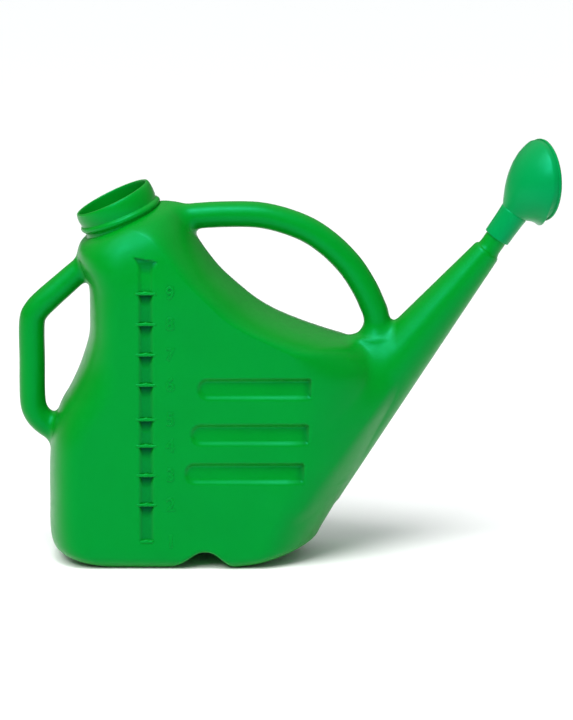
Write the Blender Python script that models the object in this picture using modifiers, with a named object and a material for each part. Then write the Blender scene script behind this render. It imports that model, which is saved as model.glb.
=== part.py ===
"""Ten-litre blow-moulded garden watering can with a push-on rose.

The can is one hollow moulding, built as a lofted tank joined to a conical spout, hollowed
out, and divided by thin cuts into named regions (base, body, shoulder, spout root, spout).
The neck, the two tubular handles and the three pieces of the rose are solids of their own.
Lengths are written in millimetres and turned into metres by MM. +X points to the spout,
+Z is up, and the can stands on Z = 0.
"""
import math

import bmesh
import bpy
import numpy as np
from mathutils import Matrix, Vector

MM = 0.001
GAP = 0.3                      # clearance between neighbouring solids
WALL = 2.2                     # wall of the blow moulding
SIDES = 32                     # facets round a turned piece

HALF_WIDTH = 70.0              # half the tank's width across Y
BASE_RISE = (-57.0, 72.0, 16.0, 80.0)   # start X, run, rise and fade height of the lifted toe
BASE_RISE_POWER = 1.5
FLAT_SHARE = 0.88              # share of the straight sides that ends where the base starts to rise

# Tank sections from the base up: rear X and Z, front X and Z, inset of the side, length of
# the rounded rear end and length of the tapering nose.
TANK_SECTIONS = (
    (-227.0, 0.0, 19.0, 0.0, 12.0, 32.0, 60.0),
    (-233.0, 1.6, 26.0, 1.6, 6.0, 34.0, 62.0),
    (-237.4, 6.0, 31.0, 6.0, 1.6, 35.0, 62.0),
    (-239.0, 12.0, 35.0, 12.0, 0.0, 36.0, 62.0),
    (-239.0, 30.0, 43.0, 34.0, 0.0, 36.0, 64.0),
    (-239.0, 60.0, 53.0, 58.0, 0.0, 36.0, 64.0),
    (-239.0, 95.0, 63.0, 80.0, 0.0, 36.0, 68.0),
    (-238.0, 122.0, 76.0, 103.0, 0.0, 37.0, 78.0),
    (-234.0, 140.0, 88.0, 125.0, 0.0, 40.0, 88.0),
    (-228.0, 156.0, 97.0, 148.0, 0.0, 44.0, 94.0),
    (-221.0, 168.0, 101.0, 168.0, 0.0, 46.0, 96.0),
    (-215.0, 180.0, 98.0, 188.0, 0.0, 46.0, 90.0),
    (-209.0, 194.0, 88.0, 205.0, 0.0, 45.0, 80.0),
    (-204.5, 207.0, 69.0, 216.5, 0.0, 42.0, 66.0),
    (-201.5, 217.0, 45.0, 223.5, 0.0, 38.0, 56.0),
    (-199.5, 226.0, 18.0, 231.0, 0.0, 36.0, 48.0),
    (-198.5, 236.0, -12.0, 242.0, 0.0, 35.0, 42.0),
    (-198.5, 247.0, -36.0, 254.0, 0.0, 35.0, 38.0),
    (-198.5, 260.0, -57.0, 269.0, 0.0, 36.0, 34.0),
    (-199.0, 275.0, -75.0, 286.0, 0.5, 38.0, 32.0),
    (-202.0, 288.0, -86.0, 303.0, 2.0, 40.0, 31.0),
    (-207.0, 299.0, -94.0, 323.0, 5.0, 44.0, 32.0),
    (-210.0, 309.0, -101.0, 344.0, 10.0, 48.0, 36.0),
    (-208.5, 317.0, -110.0, 357.0, 17.0, 48.0, 42.0),
    (-202.9, 323.9, -124.4, 361.4, 26.0, 38.0, 38.0),
)
REAR_SQUARENESS = 2.5
NOSE_SQUARENESS = 1.85

NECK_TILT = math.radians(25.5)
MOUTH = (-176.0, 365.0)        # X and Z of the centre of the filling mouth
NECK_HEIGHT = 25.2
NECK_BORE = 34.8
NECK_HOLE = (60.0, 30.0)       # length of the cut under the neck, and how far it reaches down
# Turned neck, radius and height below the mouth: rim, wall, bead, foot.
NECK_PROFILE = (
    (36.2, 0.0), (37.4, -0.7), (38.0, -2.4), (38.0, -13.6), (39.6, -14.4), (41.0, -16.4),
    (41.2, -19.2), (40.8, -22.0), (39.2, -24.4), (37.6, -25.2), (34.8, -25.2), (34.8, -1.2),
)

SPOUT_TIP = (197.5, 310.8)     # X and Z of the centre of the spout's end
SPOUT_RISE = math.radians(51.05)
SPOUT_TIP_RADIUS = 14.0
SPOUT_FLARE = 0.106            # growth of the radius along the axis
SPOUT_LENGTH = 300.0
SPOUT_CUT = 108.0              # distance from the tip where the spout leaves its root
SPOUT_BORE_START = 4.0         # distance from the tip where the cone's hollow starts
COLLAR_RADIUS = 11.6           # the spout's end closes in to this beside the spigot
COLLAR_LENGTH = 3.0
ROOT_X = 20.0                  # where the spout's root leaves the tank

SPIGOT_RISE = math.radians(55.5)
SPIGOT_RADIUS = 10.6
SPIGOT_BORE = 8.6
SPIGOT_REACH = 38.0
SPIGOT_ROOT = 9.0              # length of spigot buried in the spout
SPIGOT_BORE_ROOT = 24.0        # how far back its bore runs into the spout's hollow

SLEEVE_START = 16.3            # distances along the spigot's axis from the spout's end
SLEEVE_SPLIT = 32.0
SLEEVE_END = 47.0
SLEEVE_RADIUS = 14.3
SLEEVE_BORE = 10.95
ROSE_CENTRE = (251.0, 0.0, 382.4)
ROSE_NORMAL = (0.9059, 0.4228, -0.0201)
ROSE_RADIUS = 40.0
ROSE_WALL = 1.8
ROSE_BAND = 6.0                # straight band behind the rim, under the face's skirt
ROSE_RINGS = 9
ROSE_TURN_POWER = 0.8          # how soon the shell's rings turn towards the face
ROSE_SWELL_POWER = 0.9         # how soon they grow
ROSE_BORE_OVERRUN = 12.0       # how far the sleeve's bore runs into the shell
FACE_RADIUS = 41.6
FACE_SKIRT = 5.0
HOLE_RADIUS = 1.2
HOLE_RINGS = ((0.0, 1), (9.0, 6), (18.0, 12), (27.0, 18))

TUBE_RADIUS = 12.2
TUBE_WALL = 2.2
# X and Z along the middle of each hand tube, from the neck's end down.
REAR_HANDLE_PATH = (
    (-188.0, 316.0), (-219.0, 285.0), (-240.0, 263.5), (-253.0, 250.0), (-257.35, 237.0),
    (-257.35, 200.0), (-257.35, 162.0), (-254.0, 148.0), (-246.0, 138.0), (-232.0, 129.5),
    (-205.0, 118.0),
)
CARRY_HANDLE_PATH = (
    (-130.0, 342.0), (-99.0, 347.0), (-60.0, 349.0), (-24.0, 347.0), (12.0, 336.0), (38.0, 320.0),
    (60.0, 298.5), (74.0, 277.5), (83.0, 258.0), (88.0, 240.0), (88.0, 200.0),
)

GAUGE_X = -141.5
GAUGE_RADIUS = 9.0
GAUGE_DEPTH = 5.0
GAUGE_SPAN = (24.0, 306.0)
GAUGE_BAR = (25.0, 5.0, 2.6)   # width, depth and height of a ledge
GAUGE_BAR_INSET = 0.4          # how far the ledges stand back from the side
GAUGE_BAR_HEIGHTS = (28.8, 66.5, 96.6, 126.7, 153.5, 188.6, 219.2, 250.0, 281.0)

FLUTES = ((-92.0, 20.0, 184.5), (-99.0, 17.0, 138.0), (-105.0, 11.0, 98.5))
FLUTE_RADIUS = 16.0
FLUTE_DEPTH = 5.0

BASE_GROOVE = (-81.0, -4.5, 20.5)    # X, Z and radius of the cylinder that cuts it

BASE_CUT = 42.0                # heights where the tank divides
SHOULDER_CUT = 245.0
FAR = 400.0                    # reach of the boxes that select a region

BODY_GREEN = (0.0, 0.36, 0.045, 1.0)
ROSE_GREEN = (0.0, 0.38, 0.085, 1.0)


def clear_scene():
    """Remove every object that the file starts with."""
    for obj in list(bpy.data.objects):
        bpy.data.objects.remove(obj, do_unlink=True)


def new_collection(name):
    """Add a collection to the scene."""
    collection = bpy.data.collections.new(name)
    bpy.context.scene.collection.children.link(collection)
    return collection


def plastic(name, colour, roughness):
    """Make a plain moulded-plastic material."""
    material = bpy.data.materials.new(name)
    material.use_nodes = True
    shader = material.node_tree.nodes["Principled BSDF"]
    shader.inputs["Base Color"].default_value = colour
    shader.inputs["Roughness"].default_value = roughness
    shader.inputs["Metallic"].default_value = 0.0
    material.diffuse_color = colour
    return material


def add_object(name, mesh, collection):
    """Put a mesh into a collection as an object."""
    obj = bpy.data.objects.new(name, mesh)
    collection.objects.link(obj)
    return obj


def as_cutter(obj):
    """Mark an object as a construction solid."""
    obj.hide_render = True
    obj.display_type = "WIRE"
    return obj


def from_bmesh(name, bm, collection):
    """Finish a bmesh with outward faces and wrap it in an object."""
    bmesh.ops.recalc_face_normals(bm, faces=bm.faces)
    mesh = bpy.data.meshes.new(name)
    bm.to_mesh(mesh)
    bm.free()
    return add_object(name, mesh, collection)


def boolean(obj, other, operation):
    """Add an exact Boolean modifier."""
    modifier = obj.modifiers.new(operation.title(), "BOOLEAN")
    modifier.operation = operation
    modifier.object = other
    modifier.solver = "EXACT"


def bake(obj):
    """Replace an object's mesh by its evaluated mesh and drop its modifiers."""
    bpy.context.view_layer.update()
    evaluated = obj.evaluated_get(bpy.context.evaluated_depsgraph_get())
    mesh = bpy.data.meshes.new_from_object(evaluated)
    obj.modifiers.clear()
    obj.data = mesh
    return obj


def duplicate(obj, name, collection):
    """Copy an object with a mesh of its own."""
    copy = add_object(name, obj.data.copy(), collection)
    copy.matrix_world = obj.matrix_world.copy()
    return copy


def axis_matrix(centre, direction):
    """Matrix that takes local +Z to a direction and the origin to a centre in millimetres."""
    turn = Vector((0.0, 0.0, 1.0)).rotation_difference(Vector(direction)).to_matrix().to_4x4()
    return Matrix.Translation(Vector(centre) * MM) @ turn


def place(obj, matrix):
    """Turn and move a mesh into its place, leaving the object at the origin."""
    obj.data.transform(matrix)
    return obj


def cone(name, collection, radius_low, radius_high, length, matrix):
    """Frustum along local +Z, from the origin to a length."""
    bm = bmesh.new()
    bmesh.ops.create_cone(bm, cap_ends=True, segments=SIDES, radius1=radius_low * MM,
                          radius2=radius_high * MM, depth=length * MM,
                          matrix=Matrix.Translation((0.0, 0.0, 0.5 * length * MM)))
    return place(from_bmesh(name, bm, collection), matrix)


def box(name, collection, low, high):
    """Box between two corners in millimetres."""
    low = Vector(low) * MM
    high = Vector(high) * MM
    size = high - low
    bm = bmesh.new()
    bmesh.ops.create_cube(bm, size=1.0)
    bmesh.ops.scale(bm, vec=size, verts=bm.verts)
    bmesh.ops.translate(bm, vec=(low + high) / 2, verts=bm.verts)
    return from_bmesh(name, bm, collection)


def offset_path(points, distance, start, end):
    """Move a path sideways; start and end are the directions of travel at its two ends."""
    points = np.array(points)
    before = np.vstack((points[0] - start, points[:-1]))
    after = np.vstack((points[1:], points[-1] + end))
    tangent = after - before
    tangent = tangent / np.linalg.norm(tangent, axis=1)[:, None]
    normal = np.column_stack((-tangent[:, 1], tangent[:, 0]))
    return points + distance * normal


def quarter(length, half, squareness, count):
    """Quarter of a superellipse, from its tip (length, 0) to (0, half)."""
    angle = np.linspace(0.0, math.pi / 2, count)
    power = 2.0 / squareness
    return np.column_stack((length * np.cos(angle) ** power, half * np.sin(angle) ** power))


def section_ring(rear, front, half, rear_length, nose_length):
    """One closed section of the tank, in the plane through its rear and front points."""
    span = front[0] - rear[0]
    count = SIDES // 4 + 1
    nose = quarter(nose_length, half, NOSE_SQUARENESS, count)
    tail = quarter(rear_length, half, REAR_SQUARENESS, count)
    right_x = np.concatenate((span - nose_length + nose[:, 0], rear_length - tail[::-1, 0]))
    right_y = np.concatenate((nose[:, 1], tail[::-1, 1]))
    flat = rear_length + FLAT_SHARE * (span - nose_length - rear_length)
    right_x = np.insert(right_x, count, flat)
    right_y = np.insert(right_y, count, half)
    along = np.concatenate((right_x, right_x[-2:0:-1]))
    across = np.concatenate((right_y, -right_y[-2:0:-1]))
    x = rear[0] + along
    z = rear[1] + (front[1] - rear[1]) * along / span
    start, run, rise, fade = BASE_RISE
    lift = rise * np.clip((x - start) / run, 0.0, None) ** BASE_RISE_POWER
    z = z + lift * np.clip(1.0 - z / fade, 0.0, 1.0)
    return np.column_stack((x, across, z))


def loft(name, collection, rings):
    """Skin a list of rings with the same number of points.

    Each end is closed with strips between mirrored points, so that it follows a bent end.
    """
    bm = bmesh.new()
    loops = [[bm.verts.new(Vector(point) * MM) for point in ring] for ring in rings]
    count = len(loops[0])
    for lower, upper in zip(loops, loops[1:]):
        for i in range(count):
            j = (i + 1) % count
            bm.faces.new((lower[i], lower[j], upper[j], upper[i]))
    for end in (loops[0], loops[-1]):
        for i in range(count // 2):
            strip = (end[i], end[i + 1], end[(count - i - 1) % count], end[(count - i) % count])
            bm.faces.new(tuple(dict.fromkeys(strip)))
    return from_bmesh(name, bm, collection)


def tank_solid(name, collection, inset):
    """The tank's solid, moved inwards by an inset (outwards when it is negative)."""
    table = np.array(TANK_SECTIONS)
    shoulder = np.array((math.cos(NECK_TILT), math.sin(NECK_TILT)))
    out = np.array((1.0, 0.0))
    rear = offset_path(table[:, 0:2], -inset, -out, shoulder)
    front = offset_path(table[:, 2:4], inset, out, -shoulder)
    middle = 0.5 * (table[:, 1] + table[:, 3])
    side = offset_path(np.column_stack((HALF_WIDTH - table[:, 4], middle)), inset, out, -out)
    rings = []
    for i, row in enumerate(table):
        shrink = side[i, 0] / (HALF_WIDTH - row[4])
        rings.append(section_ring(rear[i], front[i], side[i, 0], row[5] * shrink, row[6] * shrink))
    return loft(name, collection, rings)


def spout_frame():
    """Matrix at the spout's end, with local +Z running back down the spout's axis."""
    down = (-math.cos(SPOUT_RISE), 0.0, -math.sin(SPOUT_RISE))
    return axis_matrix((SPOUT_TIP[0], 0.0, SPOUT_TIP[1]), down)


def spigot_frame(distance):
    """Matrix at a distance along the spigot's axis, with local +Z pointing outwards."""
    direction = Vector((math.cos(SPIGOT_RISE), 0.0, math.sin(SPIGOT_RISE)))
    centre = Vector((SPOUT_TIP[0], 0.0, SPOUT_TIP[1])) + direction * distance
    return axis_matrix(centre, direction)


def spout_solid(name, collection, inset, start):
    """The spout's cone from near its end back into the tank."""
    low = SPOUT_TIP_RADIUS + SPOUT_FLARE * start - inset
    high = SPOUT_TIP_RADIUS + SPOUT_FLARE * SPOUT_LENGTH - inset
    matrix = spout_frame() @ Matrix.Translation((0.0, 0.0, start * MM))
    return cone(name, collection, low, high, SPOUT_LENGTH - start, matrix)


def neck_frame(distance):
    """Matrix on the neck's axis, a distance below the mouth, with local +Z pointing out."""
    direction = Vector((-math.sin(NECK_TILT), 0.0, math.cos(NECK_TILT)))
    centre = Vector((MOUTH[0], 0.0, MOUTH[1])) - direction * distance
    return axis_matrix(centre, direction)


def capsule(name, collection, left, right, centre_y, centre_z, radius):
    """Horizontal round-ended rod between two X positions."""
    bm = bmesh.new()
    bmesh.ops.create_uvsphere(bm, u_segments=16, v_segments=9, radius=radius * MM,
                              matrix=Matrix.Rotation(math.pi / 2, 4, "Y"))
    reach = 0.5 * (right - left) - radius
    for vert in bm.verts:
        vert.co.x += math.copysign(reach * MM, vert.co.x)
    obj = from_bmesh(name, bm, collection)
    middle = Vector((0.5 * (left + right), centre_y, centre_z))
    return place(obj, Matrix.Translation(middle * MM))


def relief_solids(collection, grow):
    """Solids of the base groove, the gauge groove and the flutes, grown by a margin."""
    tag = "inner" if grow else "outer"
    x, z, radius = BASE_GROOVE
    across = axis_matrix((x, -HALF_WIDTH * 1.5, z), (0.0, 1.0, 0.0))
    solids = [cone(f"base_groove_{tag}", collection, radius + grow, radius + grow,
                   HALF_WIDTH * 3, across)]
    gauge_y = -HALF_WIDTH - GAUGE_RADIUS + GAUGE_DEPTH
    low, high = GAUGE_SPAN
    upright = axis_matrix((GAUGE_X, gauge_y, low - grow), (0.0, 0.0, 1.0))
    solids.append(cone(f"gauge_groove_{tag}", collection, GAUGE_RADIUS + grow,
                       GAUGE_RADIUS + grow, high - low + 2 * grow, upright))
    for i, (left, right, height) in enumerate(FLUTES):
        for side in (-1, 1):
            y = side * (HALF_WIDTH + FLUTE_RADIUS - FLUTE_DEPTH)
            name = f"flute_{i}_{'near' if side < 0 else 'far'}_{tag}"
            solids.append(capsule(name, collection, left - grow, right + grow, y, height,
                                  FLUTE_RADIUS + grow))
    return solids


def can_shell(cutters):
    """The hollow moulding, without its neck and handles."""
    outer = tank_solid("can_outer", cutters, 0.0)
    spout = spout_solid("spout_outer", cutters, 0.0, 0.0)
    outwards = spout_frame() @ Matrix.Rotation(math.pi, 4, "X")
    collar = cone("spout_collar", cutters, SPOUT_TIP_RADIUS, COLLAR_RADIUS, COLLAR_LENGTH, outwards)
    spigot = cone("spigot_outer", cutters, SPIGOT_RADIUS, SPIGOT_RADIUS,
                  SPIGOT_REACH + SPIGOT_ROOT, spigot_frame(-SPIGOT_ROOT))
    for solid in (spout, collar, spigot):
        boolean(outer, solid, "UNION")
    for solid in relief_solids(cutters, 0.0):
        boolean(outer, solid, "DIFFERENCE")

    inner = tank_solid("can_inner", cutters, WALL)
    spout_inner = spout_solid("spout_inner", cutters, WALL, SPOUT_BORE_START)
    for solid in relief_solids(cutters, WALL):
        boolean(inner, solid, "DIFFERENCE")
    boolean(inner, spout_inner, "UNION")
    bake(outer)
    bake(inner)
    boolean(outer, inner, "DIFFERENCE")
    bore = cone("spigot_bore", cutters, SPIGOT_BORE, SPIGOT_BORE,
                SPIGOT_BORE_ROOT + 2 * SPIGOT_REACH, spigot_frame(-SPIGOT_BORE_ROOT))
    boolean(outer, bore, "DIFFERENCE")
    hole_length, hole_reach = NECK_HOLE
    hole = cone("neck_hole", cutters, NECK_BORE, NECK_BORE, hole_length,
                neck_frame(NECK_HEIGHT + hole_reach))
    boolean(outer, hole, "DIFFERENCE")
    width, depth, height = GAUGE_BAR
    back = -HALF_WIDTH + GAUGE_BAR_INSET
    for i, level in enumerate(GAUGE_BAR_HEIGHTS):
        bar = box(f"gauge_bar_{i + 1}", cutters,
                  (GAUGE_X - width / 2, back, level - height / 2),
                  (GAUGE_X + width / 2, back + depth, level + height / 2))
        boolean(outer, bar, "UNION")
    for obj in cutters.objects:
        as_cutter(obj)
    return bake(outer)


def region(name, cutters, low, high):
    """Box that selects one region of the can."""
    return as_cutter(box(name, cutters, low, high))


def can_regions(shell, parts, cutters):
    """Divide the can's shell into its named regions with thin cuts."""
    half = GAP / 2
    tank_base = duplicate(shell, "tank_base", parts)
    base_region = region("base_region", cutters, (-FAR, -FAR, -FAR), (FAR, FAR, BASE_CUT - half))
    boolean(tank_base, base_region, "INTERSECT")

    body_region = region("body_region", cutters, (-FAR, -FAR, BASE_CUT + half),
                         (ROOT_X - half, FAR, SHOULDER_CUT - half))
    tank_body = duplicate(shell, "tank_body", parts)
    boolean(tank_body, body_region, "INTERSECT")

    shoulder = duplicate(shell, "tank_shoulder", parts)
    boolean(shoulder, region("shoulder_region", cutters, (-FAR, -FAR, SHOULDER_CUT + half),
                             (ROOT_X - half, FAR, FAR)), "INTERSECT")

    tip_side = box("spout_region", cutters, (-FAR, -FAR, -FAR), (FAR, FAR, SPOUT_CUT - half))
    place(as_cutter(tip_side), spout_frame())
    root_side = box("root_side", cutters, (-FAR, -FAR, SPOUT_CUT + half), (FAR, FAR, FAR))
    place(as_cutter(root_side), spout_frame())

    spout_root = duplicate(shell, "spout_root", parts)
    boolean(spout_root, region("root_region", cutters, (ROOT_X + half, -FAR, BASE_CUT + half),
                               (FAR, FAR, FAR)), "INTERSECT")
    boolean(spout_root, root_side, "INTERSECT")
    spout = duplicate(shell, "spout", parts)
    boolean(spout, region("tip_region", cutters, (ROOT_X + half, -FAR, BASE_CUT + half),
                          (FAR, FAR, FAR)), "INTERSECT")
    boolean(spout, tip_side, "INTERSECT")
    return [tank_base, tank_body, shoulder, spout_root, spout]


def turned(name, collection, profile, matrix):
    """Closed profile of radius and height, turned about local Z."""
    mesh = bpy.data.meshes.new(name)
    points = [(radius * MM, 0.0, height * MM) for radius, height in profile]
    edges = [(i, (i + 1) % len(points)) for i in range(len(points))]
    mesh.from_pydata(points, edges, [])
    obj = add_object(name, mesh, collection)
    screw = obj.modifiers.new("Turn", "SCREW")
    screw.angle = math.tau
    screw.steps = SIDES
    screw.render_steps = SIDES
    screw.use_merge_vertices = True
    screw.merge_threshold = 0.00001
    obj.matrix_world = matrix
    return obj


def smooth_path(points, steps):
    """Catmull-Rom curve through points."""
    points = np.array(points)
    ends = np.vstack((2 * points[0] - points[1], points, 2 * points[-1] - points[-2]))
    t = np.linspace(0.0, 1.0, steps, endpoint=False)[:, None]
    pieces = []
    for a, b, c, d in zip(ends, ends[1:], ends[2:], ends[3:]):
        pieces.append(0.5 * (2 * b + (c - a) * t + (2 * a - 5 * b + 4 * c - d) * t ** 2
                             + (3 * b - a - 3 * c + d) * t ** 3))
    return np.vstack(pieces + [points[-1:]])


def tube(name, collection, path, radius):
    """Closed round bar along a path in the can's middle plane."""
    curve = bpy.data.curves.new(name, "CURVE")
    curve.dimensions = "3D"
    curve.bevel_depth = radius * MM
    curve.bevel_resolution = 4
    curve.use_fill_caps = True
    spline = curve.splines.new("POLY")
    spline.points.add(len(path) - 1)
    for point, (x, z) in zip(spline.points, path):
        point.co = (x * MM, 0.0, z * MM, 1.0)
    carrier = add_object(name + "_curve", curve, collection)
    bpy.context.view_layer.update()
    evaluated = carrier.evaluated_get(bpy.context.evaluated_depsgraph_get())
    mesh = bpy.data.meshes.new_from_object(evaluated)
    bpy.data.objects.remove(carrier, do_unlink=True)
    bm = bmesh.new()
    bm.from_mesh(mesh)
    bmesh.ops.remove_doubles(bm, verts=bm.verts, dist=0.00001)
    return from_bmesh(name, bm, collection)


def handle(name, points, parts, cutters, body):
    """Hollow tubular handle that stops just short of the can's wall."""
    path = smooth_path(points, 3)
    obj = tube(name, parts, path, TUBE_RADIUS)
    core = as_cutter(tube(name + "_core", cutters, path, TUBE_RADIUS - TUBE_WALL))
    boolean(obj, body, "DIFFERENCE")
    boolean(obj, core, "DIFFERENCE")
    return obj


def rose_ring(fraction, inset):
    """Circle of the rose's shell between its sleeve (0) and its rim (1)."""
    axis = Vector((math.cos(SPIGOT_RISE), 0.0, math.sin(SPIGOT_RISE)))
    start = Vector((SPOUT_TIP[0], 0.0, SPOUT_TIP[1])) + axis * SLEEVE_END
    facing = Vector(ROSE_NORMAL).normalized()
    centre = start.lerp(Vector(ROSE_CENTRE) - facing * ROSE_BAND, fraction)
    normal = axis.slerp(facing, fraction ** ROSE_TURN_POWER)
    swell = math.sin(fraction * math.pi / 2) ** ROSE_SWELL_POWER
    radius = SLEEVE_RADIUS + (ROSE_RADIUS - SLEEVE_RADIUS) * swell
    turn = axis.rotation_difference(normal)
    side = turn @ Vector((0.0, 1.0, 0.0))
    other = normal.cross(side)
    return [centre + (radius - inset) * (math.cos(a) * side + math.sin(a) * other)
            for a in np.linspace(0.0, math.tau, SIDES, endpoint=False)]


def rose_loft(name, collection, inset, reach):
    """Solid of the rose's shell; reach carries its last ring on past the rim.

    The outer solid, with no reach, starts with the upper part of the sleeve.
    """
    rings = [rose_ring(f, inset) for f in np.linspace(0.0, 1.0, ROSE_RINGS)]
    normal = Vector(ROSE_NORMAL).normalized()
    rings.append([point + normal * (ROSE_BAND + reach) for point in rings[-1]])
    if not reach:
        axis = Vector((math.cos(SPIGOT_RISE), 0.0, math.sin(SPIGOT_RISE)))
        back = axis * (SLEEVE_END - SLEEVE_SPLIT - GAP)
        rings.insert(0, [point - back for point in rings[0]])
    return loft(name, collection, rings)


def rose(parts, cutters):
    """Push-on rose: sleeve, shell and perforated face."""
    socket_length = SLEEVE_SPLIT - SLEEVE_START
    socket = turned("rose_socket", parts,
                    ((SLEEVE_RADIUS - 0.6, 0.0), (SLEEVE_BORE, 0.0), (SLEEVE_BORE, socket_length),
                     (SLEEVE_RADIUS, socket_length), (SLEEVE_RADIUS, 0.8)),
                    spigot_frame(SLEEVE_START))

    head = rose_loft("rose_head", parts, 0.0, 0.0)
    stem_start = SLEEVE_SPLIT + GAP
    hollow = rose_loft("rose_hollow", cutters, ROSE_WALL, 5.0)
    bore = cone("rose_bore", cutters, SLEEVE_BORE, SLEEVE_BORE,
                SLEEVE_END - stem_start + ROSE_BORE_OVERRUN, spigot_frame(stem_start - 2.0))
    boolean(head, hollow, "DIFFERENCE")
    boolean(head, bore, "DIFFERENCE")

    frame = axis_matrix(ROSE_CENTRE, Vector(ROSE_NORMAL).normalized())
    inner = ROSE_RADIUS + GAP + 0.1
    face = turned("rose_face", parts,
                  ((0.0, 5.0), (14.0, 4.6), (28.0, 3.4), (38.0, 2.2), (FACE_RADIUS - 0.6, 1.7),
                   (FACE_RADIUS, 1.0), (FACE_RADIUS, -FACE_SKIRT), (inner, -FACE_SKIRT), (inner, GAP),
                   (28.0, 1.8), (14.0, 3.0), (0.0, 3.4)), frame)
    bm = bmesh.new()
    for radius, count in HOLE_RINGS:
        for k in range(count):
            angle = math.tau * k / count
            spot = Vector((radius * math.cos(angle), radius * math.sin(angle), 2.5)) * MM
            bmesh.ops.create_cone(bm, cap_ends=True, segments=6, radius1=HOLE_RADIUS * MM,
                                  radius2=HOLE_RADIUS * MM, depth=9 * MM,
                                  matrix=Matrix.Translation(spot))
    holes = as_cutter(from_bmesh("face_holes", bm, cutters))
    holes.matrix_world = frame
    boolean(face, holes, "DIFFERENCE")
    for obj in (hollow, bore):
        as_cutter(obj)
    return [socket, head, face]


def main():
    """Build the watering can."""
    clear_scene()
    parts = new_collection("watering_can")
    cutters = new_collection("cutters")
    shell = can_shell(cutters)
    pieces = can_regions(shell, parts, cutters)

    body = tank_solid("body_clearance", cutters, -GAP)
    boolean(body, spout_solid("spout_clearance", cutters, -GAP, 0.0), "UNION")
    bake(body)
    for obj in cutters.objects:
        as_cutter(obj)
    pieces.append(handle("rear_handle", REAR_HANDLE_PATH, parts, cutters, body))
    pieces.append(handle("carry_handle", CARRY_HANDLE_PATH, parts, cutters, body))
    pieces.append(turned("neck", parts, NECK_PROFILE, neck_frame(0.0)))
    rose_pieces = rose(parts, cutters)

    green = plastic("can_hdpe", BODY_GREEN, 0.32)
    rose_green = plastic("rose_polypropylene", ROSE_GREEN, 0.38)
    for obj in pieces + rose_pieces:
        obj.data.materials.clear()
        obj.data.materials.append(rose_green if obj in rose_pieces else green)
        obj.data.shade_smooth()


main()
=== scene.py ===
"""Visual model of a ten-litre blow-moulded watering can with a push-on rose.

The can's skin is one continuous surface, because the real one is one hollow moulding whose
handles and spout grow out of the tank in soft fillets. Its shape is a field of signed
distances, blended and then skinned. The neck, spigot, gauge ledges, numbers and the two
pieces of the rose are surfaces of two parameters. Lengths are in millimetres inside the
shape functions and become metres when a mesh is made.
"""
import math

import bmesh
import bpy
import numpy as np
from bpy.props import (FloatProperty, FloatVectorProperty, IntProperty, PointerProperty,
                       StringProperty)
from mathutils import Matrix, Vector


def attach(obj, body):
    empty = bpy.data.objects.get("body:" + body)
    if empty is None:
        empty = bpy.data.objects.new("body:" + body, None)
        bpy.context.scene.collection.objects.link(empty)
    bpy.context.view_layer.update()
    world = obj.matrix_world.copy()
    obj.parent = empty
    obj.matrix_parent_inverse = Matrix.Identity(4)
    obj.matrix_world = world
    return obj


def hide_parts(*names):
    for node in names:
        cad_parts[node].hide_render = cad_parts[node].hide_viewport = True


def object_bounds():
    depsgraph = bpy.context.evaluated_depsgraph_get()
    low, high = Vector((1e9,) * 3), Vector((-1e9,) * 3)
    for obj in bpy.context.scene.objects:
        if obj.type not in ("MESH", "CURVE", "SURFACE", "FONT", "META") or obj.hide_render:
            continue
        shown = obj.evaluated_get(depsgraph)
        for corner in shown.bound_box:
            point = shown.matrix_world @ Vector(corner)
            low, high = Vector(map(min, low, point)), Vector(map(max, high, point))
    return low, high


bl_info = {
    "name": "Watering Can",
    "version": (1, 0, 0),
    "blender": (4, 5, 0),
    "location": "View3D > Sidebar > Watering Can",
    "description": "Builds a blow-moulded watering can with its rose and a soft white stage",
    "category": "Add Mesh",
}

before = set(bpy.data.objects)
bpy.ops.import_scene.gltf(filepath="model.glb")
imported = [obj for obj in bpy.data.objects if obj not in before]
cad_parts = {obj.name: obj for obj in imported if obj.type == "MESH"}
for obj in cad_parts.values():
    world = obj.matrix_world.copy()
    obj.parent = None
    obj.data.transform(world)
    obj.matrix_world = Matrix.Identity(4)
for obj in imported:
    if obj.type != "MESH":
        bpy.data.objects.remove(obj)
CAD_LOW, CAD_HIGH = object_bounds()

MM = 0.001

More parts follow.
